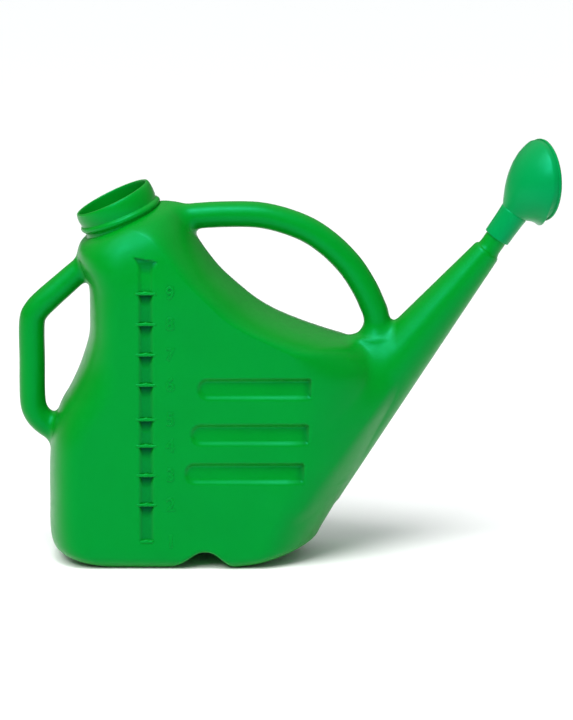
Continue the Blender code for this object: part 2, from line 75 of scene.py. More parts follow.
# Tank sections from the base up: rear X and Z, front X and Z, inset of the side, length of
# the rounded rear end and length of the tapering nose.
TANK_SECTIONS = np.array((
    (-205.0, 0.0, 22.0, 0.0, 12.0, 34.0, 60.0),
    (-218.5, 3.6, 27.5, 1.4, 6.0, 37.0, 62.0),
    (-230.0, 9.4, 30.0, 5.0, 1.6, 39.0, 62.0),
    (-237.0, 17.5, 32.6, 11.0, 0.0, 40.0, 62.0),
    (-239.7, 34.0, 41.5, 29.0, 0.0, 39.0, 64.0),
    (-239.7, 60.0, 54.5, 58.0, 0.0, 36.0, 64.0),
    (-239.7, 95.0, 63.8, 80.4, 0.0, 36.0, 68.0),
    (-238.0, 122.0, 77.5, 103.0, 0.0, 37.0, 78.0),
    (-234.0, 140.0, 88.0, 125.0, 0.0, 40.0, 88.0),
    (-228.0, 156.0, 97.0, 148.0, 0.0, 44.0, 94.0),
    (-221.0, 168.0, 101.0, 168.0, 0.0, 46.0, 96.0),
    (-215.0, 180.0, 98.0, 188.0, 0.0, 46.0, 90.0),
    (-209.0, 194.0, 88.0, 205.0, 0.0, 45.0, 80.0),
    (-204.5, 207.0, 70.0, 218.5, 0.0, 42.0, 66.0),
    (-201.5, 217.0, 47.0, 226.0, 0.0, 38.0, 56.0),
    (-199.5, 226.0, 22.0, 234.5, 0.0, 36.0, 48.0),
    (-198.5, 236.0, -6.0, 246.0, 0.0, 35.0, 42.0),
    (-198.5, 247.0, -28.0, 258.5, 0.0, 35.0, 38.0),
    (-198.5, 260.0, -47.0, 273.5, 0.0, 36.0, 34.0),
    (-199.0, 275.0, -66.0, 291.0, 0.5, 38.0, 32.0),
    (-202.0, 288.0, -79.5, 307.5, 2.0, 40.0, 31.0),
    (-207.0, 299.0, -91.5, 325.5, 5.0, 44.0, 32.0),
    (-210.0, 309.0, -101.0, 344.0, 10.0, 48.0, 36.0),
    (-208.5, 317.0, -110.0, 357.0, 17.0, 48.0, 42.0),
    (-202.9, 323.9, -124.4, 361.4, 26.0, 38.0, 38.0),
))
REAR_SQUARENESS = 2.5
NOSE_SQUARENESS = (1.85, 1.5)  # at the nose, and at the saddle above it
SADDLE_RISE = (190.0, 240.0)  # heights between which the one turns into the other
BASE_RISE = (-57.0, 72.0, 16.0, 80.0)  # start X, run, rise and fade height of the lifted toe
BASE_GROOVE = (-114.0, -57.0, 0.72, 0.9)  # feet of the groove's two slopes, and their steepness
GROOVE_CREST = 17.0  # reach of the rounding at the groove's crest
GROOVE_EDGE = 4.0  # and along its edges

NECK_TILT = math.radians(25.5)
NECK_AXIS = np.array((-math.sin(NECK_TILT), 0.0, math.cos(NECK_TILT)))
NECK_SIDE = np.array((math.cos(NECK_TILT), 0.0, math.sin(NECK_TILT)))
MOUTH = np.array((-176.0, 0.0, 365.0))
PLATEAU = (25.5, 3.0)  # depth under the mouth, and the rounding of its edge
THREAD_DROP = 5.2  # how much lower the thread runs at the neck's front
BORE_DEPTH, SKIN_BORE, LINING_BORE = 45.0, 38.0, 37.0  # the opening under the neck, as radii
SPOUT_RISE = math.radians(51.05)
SPOUT_AXIS = np.array((math.cos(SPOUT_RISE), 0.0, math.sin(SPOUT_RISE)))
SPOUT_TIP = np.array((197.5, 0.0, 310.8))
SPOUT_END = (1.5, 4.5)  # how far the cone passes the tip, and its rounding
SPOUT_ROOT = (300.0, 12.0)  # how deep the cone runs into the tank, and its rounding
SPIGOT_RISE = math.radians(55.5)
SPIGOT_AXIS = np.array((math.cos(SPIGOT_RISE), 0.0, math.sin(SPIGOT_RISE)))

# Middle lines of the two hand tubes, as X and Z.
REAR_HANDLE_PATH = ((-188.0, 308.0), (-203.5, 295.0), (-221.0, 280.3), (-240.1, 262.8),
                    (-252.3, 249.8), (-256.75, 237.0), (-256.75, 200.0), (-256.75, 162.0),
                    (-253.9, 147.4), (-246.0, 137.0), (-232.2, 128.2), (-205.0, 117.0))
CARRY_HANDLE_PATH = ((-130.0, 340.0), (-99.0, 345.3), (-60.0, 347.6), (-24.0, 346.0), (12.0, 335.0),
                     (37.4, 319.2), (59.2, 297.7), (73.2, 276.8), (82.4, 257.6), (87.6, 240.0),
                     (88.0, 200.0))
REAR_HANDLE_SLIM = (1.1, 262.0, 290.0)  # how much thinner the tube gets between two heights

# Reaches of the fillets between the parts of the moulding.
CREASE = 1.0  # least fillet between tank and spout
FLANK_FILLETS = (33.0, 10.0)  # added on the spout's flanks, low down and at the top
FLANK_HEIGHTS = (165.0, 225.0)  # heights between which the one turns into the other
FLANK_EDGE = (0.25, 0.85)  # shares of the spout's radius where the flank runs out
REAR_FILLET = 9.0
CARRY_FILLETS = (10.0, 18.0)  # at the carry handle, and added behind its foot

GAUGE_X = -141.5
GAUGE_LEDGES = (281.0, 250.0, 219.2, 188.6, 153.5, 126.7, 96.6, 66.5, 28.8)
GAUGE_TOP = (313.5, 298.0, 12.8)  # top and foot of the full mark's pocket, its half width
GAUGE_BAND = (-158.0, -124.0)  # X range where the skin is finer
NUMBER_X = -117.5
FLUTES = ((-92.0, 24.0, 184.5), (-99.0, 21.5, 138.0), (-105.0, 17.0, 98.5))  # X range and height
FLUTE_HALF_HEIGHT = 12.0
FLUTE_CORNERS = (11.8, 5.0)  # corner radii at the rear and front end of a flute

ROSE_CENTRE = np.array((251.0, 0.0, 382.4))
ROSE_NORMAL = np.array((0.9059, 0.4228, -0.0201))
ROSE_NORMAL = ROSE_NORMAL / np.linalg.norm(ROSE_NORMAL)
ROSE_WALL = 1.8
RIM_DEPTH = 6.0  # how far behind the face the shell's round part ends
SLEEVE_TOP = 47.0  # where the shell starts, along the spigot from the tip
SLEEVE_LENGTH = 30.7
SLEEVE_BORE = 11.5
HOLE_PITCH = 6.4

# The box that the skin is sampled in, and the planes that part it into pieces.
SAMPLED = ((-275.0, 212.0), (-75.0, 75.0), (-4.0, 372.0))
SPLIT_X, SPLIT_Z = 20.0, 175.0

# The stage, in metres.
FLOOR_REACH = 30.0
SKY_DIM, SKY_RISE, SKY_BEND = 0.06, 0.85, 1.2
SKY_TINT = (0.97, 1.0, 1.0, 1.0)
LIGHTS_AIM = (0.0, 0.0, 0.2)
SUN_PLACE, SUN_POWER, SUN_SPREAD = (-1.2, -1.5, 3.0), 1.8, math.radians(50.0)
SOFTBOXES = (("front_softbox", (-0.9, -2.2, 1.9), 0.8, 19.0),  # place, size and watts
             ("overhead_softbox", (-0.2, -0.8, 1.9), 0.7, 16.0))
CAMERA_AIM, CAMERA_DISTANCE, CAMERA_RISE = (-0.0025, 0.0, 0.199), 6.0, math.radians(12.5)
FRAME_HEIGHT = 0.720


def length(name, description, metres):
    """A setting that holds a length."""
    return FloatProperty(name=name, description=description, default=metres, unit="LENGTH")


class CanSizes(bpy.types.PropertyGroup):
    """Sizes of the can and of the mesh that skins it."""
    half_width: length("Half width", "Half the tank's width", 0.0694)
    wall: length("Wall", "Wall of the blow moulding", 0.0022)
    tube_radius: length("Hand tube radius", "Radius of both hand tubes", 0.0129)
    spout_tip_radius: length("Spout tip radius", "Radius at the spout's end", 0.0140)
    spout_flare: FloatProperty(name="Spout flare", default=0.106,
                               description="Growth of the radius along the spout")
    gauge_depth: length("Gauge depth", "Depth of the gauge's channel", 0.0022)
    pocket_depth: length("Pocket depth", "Depth added under each ledge", 0.0016)
    flute_depth: length("Flute depth", "Depth of the stiffening flutes", 0.0060)
    skin_step: length("Skin step", "Spacing of the points on the skin", 0.0017)
    lining_step: length("Lining step", "Spacing of the points inside the can", 0.0048)


class RoseSizes(bpy.types.PropertyGroup):
    """Sizes of the rose."""
    radius: length("Rim radius", "Radius of the shell's rim", 0.0398)
    face_radius: length("Face radius", "Radius of the clipped-on face", 0.0410)
    sleeve_radius: length("Sleeve radius", "Outer radius of the sleeve", 0.0143)
    hole_radius: length("Hole radius", "Radius of each spray hole", 0.0010)
    hole_rings: IntProperty(name="Hole rings", description="Rings of spray holes", default=5)


class Finishes(bpy.types.PropertyGroup):
    """Colours of the two plastics, as sRGB hex values."""
    can_green: StringProperty(name="Can green", description="Colour of the can", default="#008518")
    can_shade: StringProperty(name="Can shade", description="Denser pigment in the can",
                              default="#007C14")
    rose_green: StringProperty(name="Rose green", description="Colour of the rose", default="#008A42")
    rose_shade: StringProperty(name="Rose shade", description="Denser pigment in the rose",
                               default="#00803C")
    stage_white: FloatVectorProperty(name="Stage white", description="Colour of the floor",
                                     default=(0.93, 0.93, 0.93), subtype="COLOR")


def linear(hex_colour):
    """Turn an sRGB hex value into a linear colour with alpha.

    Each channel c above 0.04045 becomes ((c + 0.055) / 1.055) to the power 2.4.
    """
    channels = [int(hex_colour[i:i + 2], 16) / 255 for i in (1, 3, 5)]
    colour = [c / 12.92 if c <= 0.04045 else ((c + 0.055) / 1.055) ** 2.4 for c in channels]
    return (*colour, 1.0)


def add_node(tree, kind, settings=None, values=None, links=None):
    """Add a shader node, set its properties and sockets, and link its inputs."""
    node = tree.nodes.new(kind)
    for key, value in (settings or {}).items():
        setattr(node, key, value)
    for key, value in (values or {}).items():
        node.inputs[key].default_value = value
    for key, source in (links or {}).items():
        tree.links.new(source, node.inputs[key])
    return node


def noise(tree, place, scale, detail, roughness=0.5):
    """Soft noise at a place; the scale is in blobs per metre."""
    values = {"Scale": scale, "Detail": detail, "Roughness": roughness}
    return add_node(tree, "ShaderNodeTexNoise", None, values, {"Vector": place}).outputs["Fac"]


def remap(tree, value, low, high, to_low, to_high, settings=None):
    """Carry a value from one range to another."""
    ends = {"From Min": low, "From Max": high, "To Min": to_low, "To Max": to_high}
    return add_node(tree, "ShaderNodeMapRange", settings, ends, {"Value": value}).outputs["Result"]


def reckon(tree, operation, source, *numbers):
    """One step of arithmetic on a value and any further numbers."""
    return add_node(tree, "ShaderNodeMath", {"operation": operation},
                    dict(enumerate(numbers, 1)), {0: source}).outputs["Value"]


def bump(tree, height, strength, distance, under=None):
    """Normal of a surface raised by a height, on top of another normal if one is given."""
    values = {"Strength": strength, "Distance": distance}
    links = {"Height": height} if under is None else {"Height": height, "Normal": under}
    return add_node(tree, "ShaderNodeBump", None, values, links).outputs["Normal"]


def new_material(name):
    """Start an empty node material with a Principled shader."""
    material = bpy.data.materials.new(name)
    material.use_nodes = True
    tree = material.node_tree
    tree.nodes.clear()
    shader = add_node(tree, "ShaderNodeBsdfPrincipled")
    add_node(tree, "ShaderNodeOutputMaterial", links={"Surface": shader.outputs["BSDF"]})
    return material, tree, shader


def moulded_plastic(name, light, dark, roughness, grain, seam):
    """A pigmented, moulded polyolefin.

    Pigment: two close greens mixed by a soft noise about 60 mm across, and darker where a
    point attribute holds the painted shade of the recesses. Roughness: a base value that a
    9 mm noise moves by a few hundredths, and fine scuffs stretched along the object's length.
    Surface: a grain about 1 mm across, a slow ripple about 35 mm across as the wall cools
    unevenly, and, where seam is asked for, the raised line where the mould's halves met.
    """
    material, tree, shader = new_material(name)
    place = add_node(tree, "ShaderNodeTexCoord").outputs["Object"]
    mix = add_node(tree, "ShaderNodeMix", {"data_type": "RGBA"}, {6: light, 7: dark},
                   {0: noise(tree, place, 16.0, 3.0)})
    # Painted shade: where the point attribute is high, the pigment is multiplied by a dark
    # blue-green, for the shadow in the gauge's channel, its pockets and under the flutes' upper
    # edges.
    painted_shade = add_node(tree, "ShaderNodeAttribute", {"attribute_name": "painted_shade"})
    deep = add_node(tree, "ShaderNodeMix", {"data_type": "RGBA", "blend_type": "MULTIPLY"},
                    {7: (0.2, 0.30, 0.5, 1.0)}, {0: painted_shade.outputs["Fac"], 6: mix.outputs[2]})
    tree.links.new(deep.outputs[2], shader.inputs["Base Color"])

    cloud = noise(tree, place, 110.0, 4.0)
    base = remap(tree, cloud, 0.3, 0.7, roughness - 0.035, roughness + 0.035)
    along = add_node(tree, "ShaderNodeMapping", links={"Vector": place},
                     values={"Scale": (60.0, 300.0, 900.0), "Rotation": (0.0, 0.5, 0.0)})
    scuff = remap(tree, noise(tree, along.outputs["Vector"], 1.0, 6.0, 0.7), 0.60, 0.78, 0.0, 0.10)
    rough = add_node(tree, "ShaderNodeMath", {"operation": "ADD"}, links={0: base, 1: scuff})
    tree.links.new(rough.outputs["Value"], shader.inputs["Roughness"])

    surface = bump(tree, noise(tree, place, 28.0, 1.0), 0.35, 0.0016)
    surface = bump(tree, noise(tree, place, 950.0, 2.0), grain, 0.0002, surface)
    if seam:
        across = add_node(tree, "ShaderNodeSeparateXYZ", links={"Vector": place}).outputs["Y"]
        line = remap(tree, reckon(tree, "ABSOLUTE", across), 0.0, 0.0011, 1.0, 0.0,
                     {"interpolation_type": "SMOOTHSTEP"})
        surface = bump(tree, line, 0.8, 0.0005, surface)
    tree.links.new(surface, shader.inputs["Normal"])
    shader.inputs["IOR"].default_value = 1.42
    # Reflections seen face on are green, and pale only towards the edges.
    shader.inputs["Specular Tint"].default_value = (0.05, 1.0, 0.75, 1.0)
    return material, shader


def blow_moulded_hdpe(finishes):
    """Blow-moulded high-density polyethylene: waxy, satin, softly rippled, with a mould seam."""
    made = bpy.data.materials.get("blow_moulded_HDPE")
    if made:
        return made
    made, shader = moulded_plastic("blow_moulded_HDPE", linear(finishes.can_green),
                                   linear(finishes.can_shade), 0.36, 0.22, True)
    # A little light passes into the waxy wall, which softens the edges of its shadows.
    shader.inputs["Subsurface Weight"].default_value = 0.06
    shader.inputs["Subsurface Radius"].default_value = (0.2, 1.0, 0.3)
    shader.inputs["Subsurface Scale"].default_value = 0.003
    return made


def injection_moulded_pp(finishes):
    """Injection-moulded polypropylene: a cleaner, slightly bluer satin than the can's."""
    made, _ = moulded_plastic("injection_moulded_polypropylene", linear(finishes.rose_green),
                              linear(finishes.rose_shade), 0.34, 0.12, False)
    return made


def add_object(name, data):
    """Put an object that shows some data into the scene."""
    obj = bpy.data.objects.new(name, data)
    bpy.context.scene.collection.objects.link(obj)
    return obj


def shaped_mesh(obj):
    """The mesh that an object's settings and modifiers make."""
    bpy.context.view_layer.update()
    graph = bpy.context.evaluated_depsgraph_get()
    return bpy.data.meshes.new_from_object(obj.evaluated_get(graph))


def make_piece(name, points, faces, material, body):
    """Make a smooth mesh from points in millimetres and its faces, and ride it on a body."""
    mesh = bpy.data.meshes.new(name)
    mesh.from_pydata((points.reshape(-1, 3) * MM).tolist(), [], faces.tolist())
    mesh.materials.append(material)
    mesh.polygons.foreach_set("use_smooth", np.full(len(mesh.polygons), True))
    mesh.update()
    obj = add_object(name, mesh)
    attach(obj, body)
    return obj


def catmull_rom(rows, steps):
    """Curve through rows of numbers, with each span cut into steps.

    Each span is the cubic through its two ends whose slopes are half the chord between
    their neighbours.
    """
    rows = np.asarray(rows, float)
    ends = np.vstack((2 * rows[0] - rows[1], rows, 2 * rows[-1] - rows[-2]))
    a, b, c, d = (ends[i:len(ends) - 3 + i, None, :] for i in range(4))
    t = np.linspace(0.0, 1.0, steps, endpoint=False)[None, :, None]
    spans = 0.5 * (2 * b + (c - a) * t + (2 * a - 5 * b + 4 * c - d) * t ** 2
                   + (3 * b - a - 3 * c + d) * t ** 3)
    return np.vstack((spans.reshape(-1, rows.shape[1]), rows[-1:]))


def smooth_step(value, low, high):
    """0 below low, 1 above high, and 3t squared minus 2t cubed between them."""
    t = np.clip((value - low) / (high - low), 0.0, 1.0)
    return t * t * (3.0 - 2.0 * t)


def soft_min(a, b, reach):
    """The lower of two fields, with a fillet where they differ by less than reach."""
    h = np.clip(0.5 + 0.5 * (b - a) / reach, 0.0, 1.0)
    return b + (a - b) * h - reach * h * (1.0 - h)


def soft_max(a, b, reach):
    """The higher of two fields, with a rounding where they differ by less than reach."""
    return -soft_min(-a, -b, reach)


def toe_lift(x):
    """Rise of the base ahead of the toe line: the rise times (distance / run) to the 1.5."""
    start, run, rise, _ = BASE_RISE
    return rise * np.clip((x - start) / run, 0.0, None) ** 1.5


def path_distance(x, z, path):
    """Distance in the middle plane from points to a smooth path, span by span."""
    line = catmull_rom(path, 5)
    best = np.full(x.shape, 1e6)
    for start, end in zip(line, line[1:]):
        run = end - start
        t = np.clip(((x - start[0]) * run[0] + (z - start[1]) * run[1]) / run.dot(run), 0.0, 1.0)
        best = np.minimum(best, np.hypot(x - start[0] - t * run[0], z - start[1] - t * run[1]))
    return best


class SideMaps:
    """Tables over the side view, 1 mm apart, that the distance field looks up.

    For every X and Z they hold how far the point lies into the rounded rear (0 where it
    starts, 1 at the contour) and into the nose, the half width there, the slopes of these
    three, and the distances to both handles' middle lines.
    """

    def __init__(self, half_width):
        self.x0, self.z0 = -290.0, -20.0
        x, z = np.arange(self.x0, 291.0), np.arange(self.z0, 446.0)
        grid_x, grid_z = np.meshgrid(x, z, indexing="ij")
        rings = catmull_rom(TANK_SECTIONS, 6)
        rear_x, rear_z, front_x, front_z, inset, rear_length, nose_length = rings.T
        lift = toe_lift(x)
        fade = BASE_RISE[3]
        tables = np.zeros((5, len(x), len(z)))
        for i, station in enumerate(x):
            ring_z = rear_z + (front_z - rear_z) * (station - rear_x) / (front_x - rear_x)
            level = np.where(z < fade, (z - lift[i]) / (1.0 - lift[i] / fade), z)
            ring_z = np.maximum.accumulate(ring_z + np.arange(len(ring_z)) * 1e-6)
            for row, column in zip(tables, (rear_x, front_x, inset, rear_length, nose_length)):
                row[i] = np.interp(level, ring_z, column)
        rear, front, inset, rear_length, nose_length = tables
        half = half_width - inset
        into_rear = (rear + rear_length - grid_x) / rear_length
        into_nose = (grid_x - front + nose_length) / nose_length
        slopes = [slope for layer in (into_rear, into_nose, half) for slope in np.gradient(layer)]
        tubes = [path_distance(grid_x, grid_z, path)
                 for path in (REAR_HANDLE_PATH, CARRY_HANDLE_PATH)]
        self.layers = np.stack((into_rear, into_nose, half, *slopes, *tubes))

    def look_up(self, x, z, sizes):
        """Read all the tables at points, weighting the four nearest entries by closeness.

        The depths of the gauge and of the flutes follow them.
        """
        u = np.clip(x - self.x0, 0.0, self.layers.shape[1] - 1.001)
        v = np.clip(z - self.z0, 0.0, self.layers.shape[2] - 1.001)
        i, j = u.astype(int), v.astype(int)
        a, b = u - i, v - j
        layers = self.layers
        read = (layers[:, i, j] * (1 - a) * (1 - b) + layers[:, i + 1, j] * a * (1 - b)
                + layers[:, i, j + 1] * (1 - a) * b + layers[:, i + 1, j + 1] * a * b)
        return (*read, gauge_cut(x, z, sizes), flute_cut(x, z, sizes))


def superellipse_distance(depth, across, slopes, half, power):
    """Distance to the round end whose section is depth^p + (y / half)^p = 1.

    The p-norm of the two coordinates minus 1, divided by the length of its gradient.
    """
    depth_x, depth_z, half_x, half_z = slopes
    norm = np.maximum((np.clip(depth, 0.0, None) ** power + across ** power) ** (1.0 / power), 1e-6)
    by_depth = (np.clip(depth, 0.0, None) / norm) ** (power - 1.0)
    by_across = (across / norm) ** (power - 1.0)
    slope_x = by_depth * depth_x - by_across * across * half_x / half
    slope_z = by_depth * depth_z - by_across * across * half_z / half
    slope = np.sqrt(slope_x ** 2 + slope_z ** 2 + (by_across / half) ** 2)
    return np.clip((norm - 1.0) / np.maximum(slope, 1e-4), -60.0, 60.0)


def gauge_cut(x, z, sizes):
    """Depth of the gauge at points of the side face.

    A soft-edged channel runs up to the top mark, with a pocket under each ledge.
    """
    off = np.abs(x - GAUGE_X)
    channel = (1.0 - smooth_step(off, 3.2, 8.4)) * smooth_step(z, 27.0, 31.0)
    channel = channel * (1.0 - smooth_step(z, 300.0, 312.0))
    return channel * sizes.gauge_depth / MM + sizes.pocket_depth / MM * gauge_pockets(x, z)


def gauge_pockets(x, z):
    """How far the pockets under the ledges reach in, from 0 to 1.

    Each is deepest under its ledge and fades out downwards while it narrows. The top one is
    wider, and its upper edge slants.
    """
    off = np.abs(x - GAUGE_X)
    pockets = np.zeros(x.shape)
    for level in GAUGE_LEDGES[:-1]:
        down = (level - z) / 13.0
        width = 8.2 - 3.8 * np.clip(down, 0.0, 1.0)
        fall = np.clip(1.0 - down, 0.0, 1.0) * (1.0 - smooth_step(-down, 0.0, 0.12))
        pockets = pockets + fall * (1.0 - smooth_step(off, width - 2.4, width))
    top, low, reach = GAUGE_TOP
    down = (top - 0.16 * (x - GAUGE_X) - z) / (top - low)
    width = reach - (reach - 5.0) * np.clip(down, 0.0, 1.0) ** 0.7
    fall = 0.8 * np.clip(1.0 - down, 0.0, 1.0) * (1.0 - smooth_step(-down, 0.0, 0.1))
    return pockets + fall * (1.0 - smooth_step(off, width - 3.0, width))


def in_flute(x, z, flute):
    """Where a point lies in a flute, a box with round rear corners and small front ones.

    Gives the distance from its edge, the height from 0 to 1, and the way forward from 0 to 1.
    """
    left, right, level = flute
    middle = 0.5 * (left + right)
    corner = np.where(x < middle, *FLUTE_CORNERS)
    over_x = np.abs(x - middle) - 0.5 * (right - left) + corner
    over_z = np.abs(z - level) - FLUTE_HALF_HEIGHT + corner
    edge = np.hypot(np.clip(over_x, 0.0, None), np.clip(over_z, 0.0, None)) - corner
    edge = edge + np.minimum(np.maximum(over_x, over_z), 0.0)
    return (edge, np.clip((z - level) / (2.0 * FLUTE_HALF_HEIGHT) + 0.5, 0.0, 1.0),
            np.clip((x - left) / (right - left), 0.0, 1.0))


def flute_cut(x, z, sizes):
    """Depth of the flutes, deepest along their upper edge and front end."""
    depth = np.zeros(x.shape)
    for flute in FLUTES:
        edge, up, ahead = in_flute(x, z, flute)
        scoop = (0.36 + 0.64 * up) * (0.68 + 0.32 * ahead)
        depth = depth + sizes.flute_depth / MM * scoop * smooth_step(-edge, 0.0, 6.0)
    return depth


def painted_recess_shade(x, y, z):
    """How dark the recesses of the side faces look, from 0 to 1.

    All of it is painted shade, standing in for the shadow that falls into these hollows. On
    the near side the gauge's channel and, darker, its pockets. On both sides a soft band under
    each flute's upper edge, growing forwards, and one behind its front end.
    """
    off = np.abs(x - GAUGE_X)
    channel = (1.0 - smooth_step(off, 4.0, 8.0)) * smooth_step(z, 27.0, 33.0)
    channel = channel * (1.0 - smooth_step(z, 274.0, 286.0))
    shade = (0.36 * channel + gauge_pockets(x, z)) * smooth_step(-y, 50.0, 62.0)
    sides = smooth_step(np.abs(y), 50.0, 60.0)
    for flute in FLUTES:
        edge, up, ahead = in_flute(x, z, flute)
        band = up ** 5 * (0.35 + 0.65 * ahead) + 0.8 * smooth_step(ahead, 0.90, 0.97)
        shade = shade + 0.42 * band * smooth_step(-edge, 0.5, 3.0) * sides
    return np.clip(shade, 0.0, 1.0)


def can_field(x, y, z, looked, sizes):
    """Signed distance from the can's outer skin, negative inside, in millimetres.

    The tank is the further out of its rear and nose superellipses, cut by the base and by the
    plane under the neck. The spout's cone and both tubes are added with fillets, the widest
    behind the carry handle's foot. The groove across the base is cut away, and the gauge and
    the flutes push the side inwards.
    """
    half_width = sizes.half_width / MM
    (into_rear, into_nose, half, rear_x, rear_z, nose_x, nose_z, half_x, half_z,
     rear_tube, carry_tube, gauge, flutes) = looked
    across = np.abs(y) / half
    rear = superellipse_distance(into_rear, across, (rear_x, rear_z, half_x, half_z), half,
                                 REAR_SQUARENESS)
    low, high = NOSE_SQUARENESS
    nose = superellipse_distance(into_nose, across, (nose_x, nose_z, half_x, half_z), half,
                                 low + (high - low) * smooth_step(z, *SADDLE_RISE))
    tank = np.maximum(rear, nose)
    tank = np.maximum(tank, toe_lift(x) - z)
    depth, edge = PLATEAU
    plateau = (x - MOUTH[0]) * NECK_AXIS[0] + (z - MOUTH[2]) * NECK_AXIS[2] + depth
    tank = soft_max(tank, plateau, edge)

    back = (SPOUT_TIP[0] - x) * SPOUT_AXIS[0] + (SPOUT_TIP[2] - z) * SPOUT_AXIS[2]
    off = (x - SPOUT_TIP[0]) * SPOUT_AXIS[2] - (z - SPOUT_TIP[2]) * SPOUT_AXIS[0]
    flare = sizes.spout_flare
    girth = sizes.spout_tip_radius / MM + flare * back
    cone = (np.sqrt(off ** 2 + y ** 2) - girth) / math.sqrt(1.0 + flare ** 2)
    cone = soft_max(cone, -SPOUT_END[0] - back, SPOUT_END[1])
    cone = soft_max(cone, back - SPOUT_ROOT[0], SPOUT_ROOT[1])
    low, high = FLANK_FILLETS
    crotch = smooth_step(z + 0.55 * np.abs(y), *FLANK_HEIGHTS)
    flank = 1.0 - smooth_step(off / np.maximum(girth, 1.0), *FLANK_EDGE)
    can = soft_min(tank, cone, CREASE + (low - (low - high) * crotch) * flank)

    tube_radius = sizes.tube_radius / MM
    rear_radius = tube_radius - REAR_HANDLE_SLIM[0] * smooth_step(z, *REAR_HANDLE_SLIM[1:])
    rear_handle = np.sqrt(rear_tube ** 2 + y ** 2) - rear_radius
    carry_handle = np.sqrt(carry_tube ** 2 + y ** 2) - tube_radius
    can = soft_min(can, rear_handle, REAR_FILLET)
    corner = smooth_step(back, 106.0, 152.0) * smooth_step(x, 20.0, 60.0)
    can = soft_min(can, carry_handle, CARRY_FILLETS[0] + CARRY_FILLETS[1] * corner)

    rear_foot, front_foot, rear_slope, front_slope = BASE_GROOVE
    groove = soft_max((z - rear_slope * (x - rear_foot)) / math.hypot(1.0, rear_slope),
                      (z + front_slope * (x - front_foot)) / math.hypot(1.0, front_slope),
                      GROOVE_CREST)
    can = soft_max(can, -groove, GROOVE_EDGE)

    wall = smooth_step(np.abs(y), half_width - 16.0, half_width - 9.0)
    near = np.where(y < 0.0, wall, 0.0)
    return can + near * gauge + wall * flutes


def neighbours(axis):
    """Slices for the first and the second point of every grid edge along an axis."""
    first, second = [slice(None)] * 3, [slice(None)] * 3
    first[axis], second[axis] = slice(None, -1), slice(1, None)
    return tuple(first), tuple(second)


def skin_of(field, axes):
    """Skin the zero level of a field sampled on a grid with one point in each crossed cell.

    Each cell that the level passes through gets the mean of the crossings on its edges, and
    each grid edge that it crosses gets a face between the four cells around the edge.
    """
    inside = field < 0.0
    cells = tuple(n - 1 for n in field.shape)
    total = np.zeros(cells + (3,))
    count = np.zeros(cells)
    for axis in range(3):
        first, second = neighbours(axis)
        a, b = field[first], field[second]
        edges = np.argwhere(inside[first] != inside[second])
        values = tuple(edges.T)
        crossing = edges.astype(float)
        crossing[:, axis] += a[values] / (a[values] - b[values])
        others = [k for k in range(3) if k != axis]
        for du in (0, 1):
            for dv in (0, 1):
                cell = edges.copy()
                cell[:, others[0]] -= du
                cell[:, others[1]] -= dv
                good = ((cell >= 0) & (cell < np.array(cells))).all(axis=1)
                flat = np.ravel_multi_index(cell[good].T, cells)
                for k in range(3):
                    total[..., k] += np.bincount(flat, crossing[good, k], count.size).reshape(cells)
                count += np.bincount(flat, minlength=count.size).reshape(cells)
    used = count > 0
    number = np.full(cells, -1)
    number[used] = np.arange(used.sum())
    spots = total[used] / count[used][:, None]
    points = np.stack([np.interp(spots[:, k], np.arange(len(axes[k])), axes[k]) for k in range(3)],
                      axis=1)
    faces = []
    for axis in range(3):
        first, second = neighbours(axis)
        start, end = inside[first], inside[second]
        edges = np.argwhere(start != end)
        u, v = (axis + 1) % 3, (axis + 2) % 3
        around = edges[:, (u, v)]
        edges = edges[((around > 0) & (around < (cells[u], cells[v]))).all(axis=1)]
        corners = []
        for du, dv in ((1, 1), (0, 1), (0, 0), (1, 0)):
            cell = edges.copy()
            cell[:, u] -= du
            cell[:, v] -= dv
            corners.append(number[tuple(cell.T)])
        quads = np.stack(corners, axis=1)
        outward = start[tuple(edges.T)]
        quads[~outward] = quads[~outward][:, ::-1]
        faces.append(quads)
    return points, np.concatenate(faces)


def settle(points, level, rounds):
    """Move points onto the zero level along its slope, and return them with their normals.

    The slope is half the difference of the level between two places 0.4 mm either side.
    """
    reach = 0.4
    for turn in range(rounds + 1):
        x, y, z = points.T
        slope = np.stack([(level(x + reach * dx, y + reach * dy, z + reach * dz)
                           - level(x - reach * dx, y - reach * dy, z - reach * dz)) / (2 * reach)
                          for dx, dy, dz in np.eye(3)], axis=1)
        size = np.linalg.norm(slope, axis=1)[:, None]
        if turn < rounds:
            move = level(x, y, z)[:, None] * slope / np.maximum(size, 0.3) ** 2
            points = points - np.clip(move, -0.8, 0.8)
    return points, slope / np.maximum(size, 1e-6)


def spaced(low, high, step, fine=None):
    """Positions from low to high; those between the two fine limits are 1 mm apart."""
    if fine is None:
        return np.linspace(low, high, math.ceil((high - low) / step) + 1)
    return np.concatenate((spaced(low, fine[0], step)[:-1], spaced(fine[0], fine[1], 1.0)[:-1],
                           spaced(fine[1], high, step)))


def grid_axes(step, fine=None):
    """Positions along X, Y and Z for sampling the can's field."""
    along_x, along_y, along_z = SAMPLED
    return spaced(*along_x, step, fine), spaced(*along_y, step), spaced(*along_z, step)


def sample(maps, sizes, axes, wall):
    """Values of the can's field on a grid, moved inwards by a wall, sheet by sheet along Y."""
    x, z = np.meshgrid(axes[0], axes[2], indexing="ij")
    looked = maps.look_up(x, z, sizes)
    sheets = [can_field(x, np.full(x.shape, y), z, looked, sizes) + wall for y in axes[1]]
    return np.stack(sheets, axis=1)


def clear_of_bore(points, faces, radius):
    """Keep the faces that lie outside a cylinder round the neck's axis, near the plateau."""
    middle = points[faces].mean(axis=1) - MOUTH
    along = middle @ NECK_AXIS
    off = np.linalg.norm(middle - along[:, None] * NECK_AXIS, axis=1)
    return faces[(off > radius) | (along < -BORE_DEPTH)]


def compact(points, faces):
    """Drop the points that no face uses; returns points, faces and which points were kept."""
    used, again = np.unique(faces, return_inverse=True)
    return points[used], again.reshape(faces.shape), used


